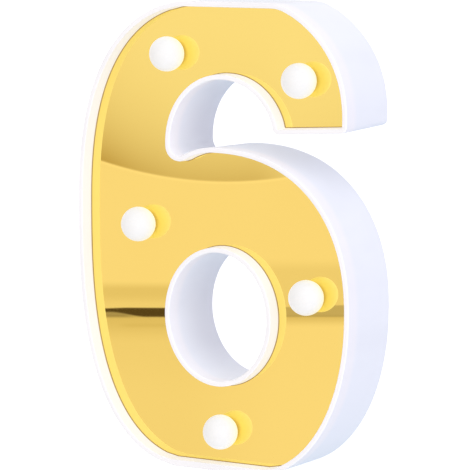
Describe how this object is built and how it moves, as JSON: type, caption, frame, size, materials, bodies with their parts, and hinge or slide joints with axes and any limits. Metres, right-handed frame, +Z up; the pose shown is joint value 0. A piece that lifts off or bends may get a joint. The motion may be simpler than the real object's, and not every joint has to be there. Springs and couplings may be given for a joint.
{
  "type": "light up marquee number",
  "caption": "Deep white digit six with a recessed gold mirror face, frosted globe bulbs and a battery door on its flat back.",
  "frame": {"origin": "middle of the bounding box, on the surface that the digit stands on", "axes": "+Z up along the digit's height, -Y out of its mirror face, +X to the right of someone who reads it"},
  "size_m": [0.1484, 0.0486, 0.22],
  "materials": {
    "white_moulding": "satin white moulding",
    "white_cover": "fine matt texture",
    "gold_mirror": "polished gold mirror sheet",
    "milky_diffuser": "frosted, lit from inside",
    "lamp_epoxy": "clear warm epoxy",
    "holder_white": "plain",
    "plated_steel": "nickel plated",
    "cell_sleeve": "plain printed sleeve",
    "switch_black": "matt black",
    "twin_wire": "soft vinyl jacket",
    "red_wire": "soft vinyl jacket",
    "black_wire": "soft vinyl jacket",
    "resistor_lacquer": "tan lacquer"
  },
  "bodies": {
    "root": {"housing": "white_moulding", "face_plate": "gold_mirror", "globe_1": "milky_diffuser", "globe_2": "milky_diffuser", "globe_3": "milky_diffuser", "globe_4": "milky_diffuser", "globe_5": "milky_diffuser", "led_1": "lamp_epoxy", "led_2": "lamp_epoxy", "led_3": "lamp_epoxy", "led_4": "lamp_epoxy", "led_5": "lamp_epoxy", "led_holder_1": "holder_white", "led_holder_2": "holder_white", "led_holder_3": "holder_white", "led_holder_4": "holder_white", "led_holder_5": "holder_white", "back_cover": "white_cover", "cover_screw_1": "plated_steel", "cover_screw_2": "plated_steel", "cover_screw_3": "plated_steel", "cover_screw_4": "plated_steel", "cover_screw_5": "plated_steel", "cover_screw_6": "plated_steel", "cover_screw_7": "plated_steel", "cover_screw_8": "plated_steel", "battery_1": "cell_sleeve", "battery_2": "cell_sleeve", "bridge_contact": "plated_steel", "positive_contact": "plated_steel", "negative_contact": "plated_steel", "bridge_spring": "plated_steel", "negative_spring": "plated_steel", "switch_body": "switch_black", "resistor": "resistor_lacquer", "led_link_wire_1": "twin_wire", "led_link_wire_2": "twin_wire", "led_link_wire_3": "twin_wire", "led_link_wire_4": "twin_wire", "battery_wire_positive": "red_wire", "battery_wire_negative": "black_wire", "switch_wire": "black_wire"},
    "battery_door": {"battery_door": "white_cover"},
    "switch_knob": {"switch_knob": "switch_black"}
  },
  "joints": [
    {"name": "battery_door_hinge", "type": "hinge", "parent": "root", "child": "battery_door", "pos_m": [-0.04778, 0.0243, 0.08441], "axis": [-1, 0, 0], "range_deg": [0, 75]},
    {"name": "switch_slide", "type": "slide", "parent": "root", "child": "switch_knob", "axis": [1, 0, 0], "range_m": [0, 0.003]}
  ]
}
